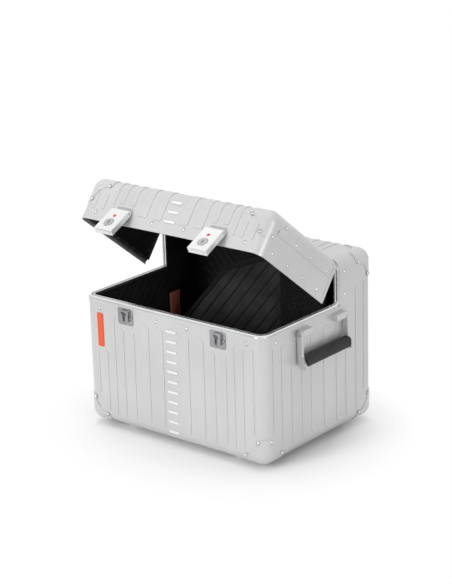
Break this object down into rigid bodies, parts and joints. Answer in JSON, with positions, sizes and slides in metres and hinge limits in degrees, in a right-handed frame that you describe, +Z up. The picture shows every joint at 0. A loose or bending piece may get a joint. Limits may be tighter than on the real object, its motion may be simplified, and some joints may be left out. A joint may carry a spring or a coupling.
{
  "type": "aluminium case",
  "caption": "Ribbed aluminium case with a full-height rear compartment, a hinged front lid, swinging lock levers, drop handles and a quilted black lining.",
  "frame": {"origin": "centre of the bounding box in plan, at the bottom of the feet", "axes": "+X along the front to the right, +Y to the rear, +Z up"},
  "size_m": [0.4408, 0.3598, 0.4422],
  "materials": {
    "aluminium_sheet": "satin",
    "aluminium_profile": "bright anodised",
    "polished_metal": "polished",
    "steel": "brushed",
    "lock_silver": "satin plated casting",
    "black_rubber": "matt",
    "grey_rubber": "matt",
    "black_plastic": "fine grain",
    "orange_badge": "satin",
    "red_dot": "gloss",
    "black_fabric": "quilted",
    "orange_leather": "grained"
  },
  "bodies": {
    "case_body": {"base_corner_caps": "aluminium_profile", "body_cap_rivets": "aluminium_profile", "body_edge_trims": "aluminium_profile", "body_rim_profile": "aluminium_profile", "body_rivets": "aluminium_profile", "body_wrap_sheet": "aluminium_sheet", "divider_binding": "black_fabric", "divider_panel": "black_fabric", "divider_pocket": "black_fabric", "feet": "grey_rubber", "foot_screws": "steel", "front_badge": "orange_badge", "hinge_body_leaf": "aluminium_profile", "hinge_pin": "steel", "keeper_rivets": "polished_metal", "leather_tab": "orange_leather", "left_handle_brackets": "aluminium_profile", "left_handle_screws": "steel", "left_side_pan": "aluminium_sheet", "lining_left": "black_fabric", "lining_right": "black_fabric", "lining_wrap": "black_fabric", "lock_keepers": "polished_metal", "right_handle_brackets": "aluminium_profile", "right_handle_screws": "steel", "right_side_pan": "aluminium_sheet", "tab_webbing": "black_fabric", "tower_corner_caps": "aluminium_profile", "tower_frame_profile": "aluminium_profile"},
    "lid": {"hinge_lid_leaf": "aluminium_profile", "lid_cap_rivets": "aluminium_profile", "lid_corner_caps": "aluminium_profile", "lid_edge_strips": "aluminium_sheet", "lid_edge_trims": "aluminium_profile", "lid_gaskets": "black_rubber", "lid_left_side_sheet": "aluminium_sheet", "lid_lining_left": "black_fabric", "lid_lining_right": "black_fabric", "lid_lining_wrap": "black_fabric", "lid_lower_frame": "aluminium_profile", "lid_rear_frame": "aluminium_profile", "lid_right_side_sheet": "aluminium_sheet", "lid_rivets": "aluminium_profile", "lid_wrap_sheet": "aluminium_sheet", "lock_brackets": "steel", "lock_pins": "steel"},
    "left_lock_lever": {"lock_left_lever": "lock_silver", "lock_left_dot": "red_dot"},
    "left_lock_release": {"lock_left_release": "lock_silver"},
    "left_key_cylinder": {"lock_left_key": "lock_silver"},
    "left_handle": {"left_handle_arms": "aluminium_profile", "left_handle_grip": "black_plastic"},
    "right_lock_lever": {"lock_right_lever": "lock_silver", "lock_right_dot": "red_dot"},
    "right_lock_release": {"lock_right_release": "lock_silver"},
    "right_key_cylinder": {"lock_right_key": "lock_silver"},
    "right_handle": {"right_handle_arms": "aluminium_profile", "right_handle_grip": "black_plastic"}
  },
  "joints": [
    {"name": "lid_hinge", "type": "hinge", "parent": "case_body", "child": "lid", "pos_m": [0, 0.0797, 0.3207], "axis": [-1, 0, 0], "range_deg": [-38, 52]},
    {"name": "left_lock_swing", "type": "hinge", "parent": "lid", "child": "left_lock_lever", "pos_m": [-0.1034, -0.13225, 0.40546], "axis": [-1, 0, 0], "range_deg": [-25.5, 64.5]},
    {"name": "left_release_push", "type": "slide", "parent": "left_lock_lever", "child": "left_lock_release", "axis": [0, 0.8949, 0.4462], "range_m": [0, 0.003], "stiffness_N_per_m": 300},
    {"name": "left_key_turn", "type": "hinge", "parent": "left_lock_lever", "child": "left_key_cylinder", "pos_m": [-0.1034, -0.16306, 0.39624], "axis": [0, 0.4462, -0.8949], "range_deg": [0, 90]},
    {"name": "left_handle_swing", "type": "hinge", "parent": "case_body", "child": "left_handle", "pos_m": [-0.2066, 0.0222, 0.223], "axis": [0, 1, 0], "range_deg": [0, 100]},
    {"name": "right_lock_swing", "type": "hinge", "parent": "lid", "child": "right_lock_lever", "pos_m": [0.1034, -0.13225, 0.40546], "axis": [-1, 0, 0], "range_deg": [-25.5, 64.5]},
    {"name": "right_release_push", "type": "slide", "parent": "right_lock_lever", "child": "right_lock_release", "axis": [0, 0.8949, 0.4462], "range_m": [0, 0.003], "stiffness_N_per_m": 300},
    {"name": "right_key_turn", "type": "hinge", "parent": "right_lock_lever", "child": "right_key_cylinder", "pos_m": [0.1034, -0.16306, 0.39624], "axis": [0, 0.4462, -0.8949], "range_deg": [0, 90]},
    {"name": "right_handle_swing", "type": "hinge", "parent": "case_body", "child": "right_handle", "pos_m": [0.2066, 0.0222, 0.223], "axis": [0, -1, 0], "range_deg": [0, 100]}
  ]
}
